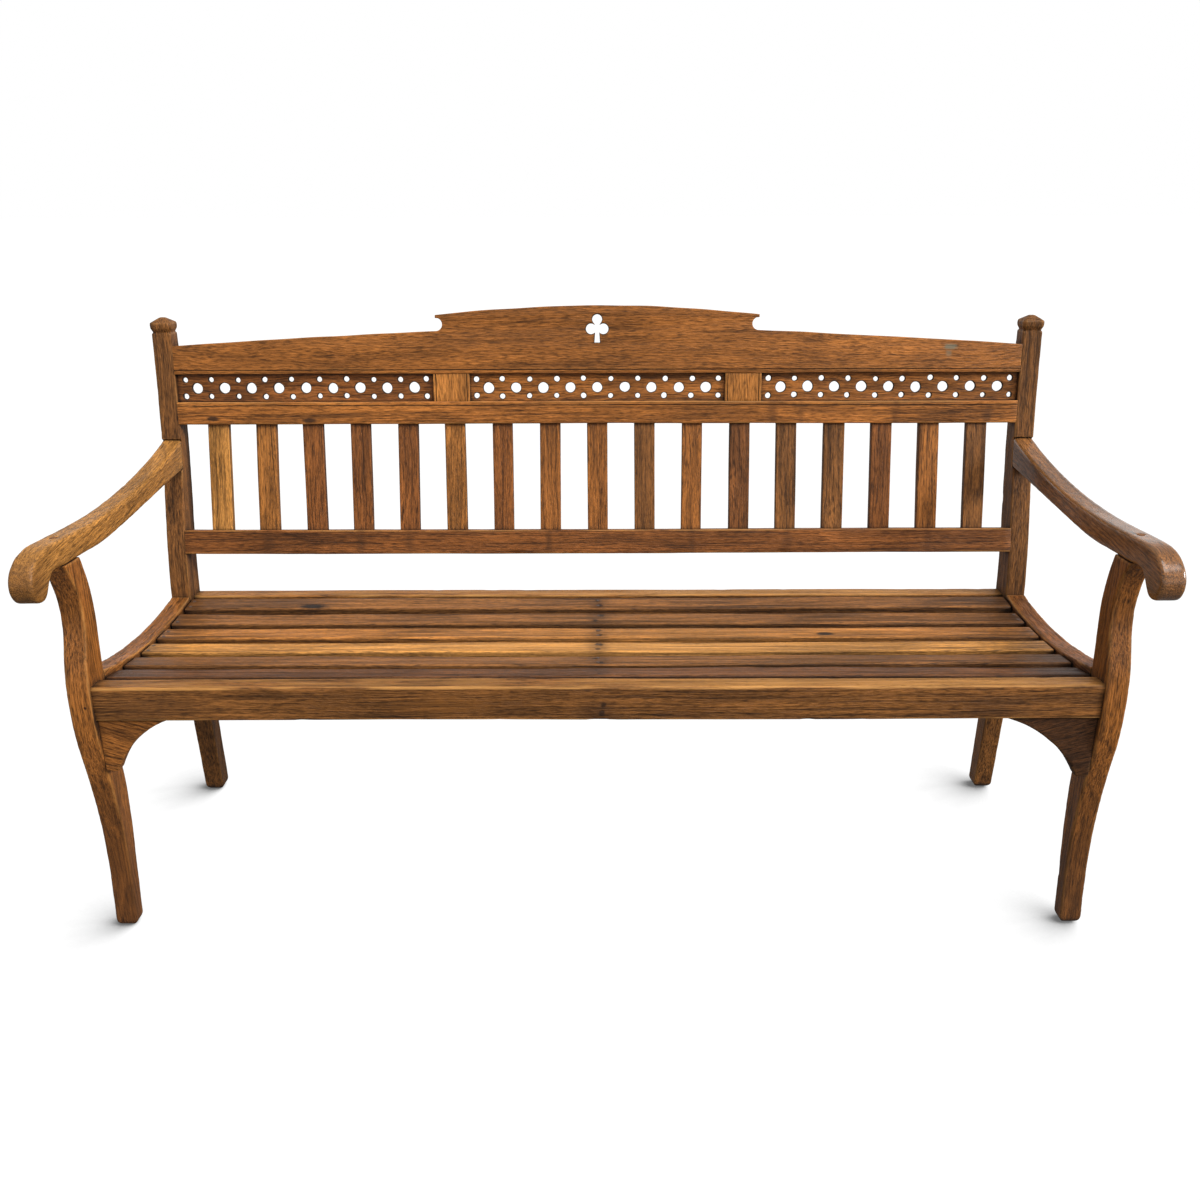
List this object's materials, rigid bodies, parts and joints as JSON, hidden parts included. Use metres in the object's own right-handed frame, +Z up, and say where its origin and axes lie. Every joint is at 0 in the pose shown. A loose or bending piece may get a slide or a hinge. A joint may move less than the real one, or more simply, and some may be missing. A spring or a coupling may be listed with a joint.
{
  "type": "slatted hardwood bench",
  "caption": "Long hardwood bench with scroll arms, dished slat seat, raked slatted back, drilled frieze and arched crest rail with a club-shaped piercing.",
  "frame": {"origin": "floor level, under the middle of the bench, midway between its foremost and rearmost points", "axes": "+X along the bench to the sitter's left, +Y towards the back, +Z up"},
  "size_m": [1.6036, 0.6452, 0.9529],
  "materials": {
    "arm_wood": "oiled, worn",
    "back_slat_wood": "oiled",
    "back_wood": "oiled",
    "frame_wood": "oiled, darker",
    "hidden_wood": "sawn",
    "panel_wood": "oiled, dark",
    "rail_wood": "oiled",
    "seat_slat_wood": "oiled, weathered",
    "steel_fasteners": "rusty"
  },
  "bodies": {
    "root": {"arm_dowels": "hidden_wood", "arm_left": "arm_wood", "arm_right": "arm_wood", "back_rail_pegs": "hidden_wood", "back_slat_01": "back_slat_wood", "back_slat_02": "back_slat_wood", "back_slat_03": "back_slat_wood", "back_slat_04": "back_slat_wood", "back_slat_05": "back_slat_wood", "back_slat_06": "back_slat_wood", "back_slat_07": "back_slat_wood", "back_slat_08": "back_slat_wood", "back_slat_09": "back_slat_wood", "back_slat_10": "back_slat_wood", "back_slat_11": "back_slat_wood", "back_slat_12": "back_slat_wood", "back_slat_13": "back_slat_wood", "back_slat_14": "back_slat_wood", "back_slat_15": "back_slat_wood", "back_slat_16": "back_slat_wood", "back_slat_17": "back_slat_wood", "bracket_screws": "steel_fasteners", "centre_bearer": "hidden_wood", "cleat_screws": "steel_fasteners", "corner_bracket_left": "rail_wood", "corner_bracket_right": "rail_wood", "crest_rail": "back_wood", "frieze_block_left": "back_wood", "frieze_block_right": "back_wood", "frieze_panel_centre": "panel_wood", "frieze_panel_left": "panel_wood", "frieze_panel_right": "panel_wood", "front_leg_left": "frame_wood", "front_leg_right": "frame_wood", "front_seat_rail": "rail_wood", "lower_back_rail": "back_wood", "mid_rail": "back_wood", "rear_post_left": "frame_wood", "rear_post_right": "frame_wood", "rear_seat_rail": "rail_wood", "seat_slat_1": "seat_slat_wood", "seat_slat_2": "seat_slat_wood", "seat_slat_3": "seat_slat_wood", "seat_slat_4": "seat_slat_wood", "seat_slat_5": "seat_slat_wood", "seat_slat_6": "seat_slat_wood", "side_rail_pegs": "hidden_wood", "side_seat_rail_left": "frame_wood", "side_seat_rail_right": "frame_wood", "slat_cleat_left": "hidden_wood", "slat_cleat_right": "hidden_wood", "slat_nails": "steel_fasteners"}
  },
  "joints": []
}
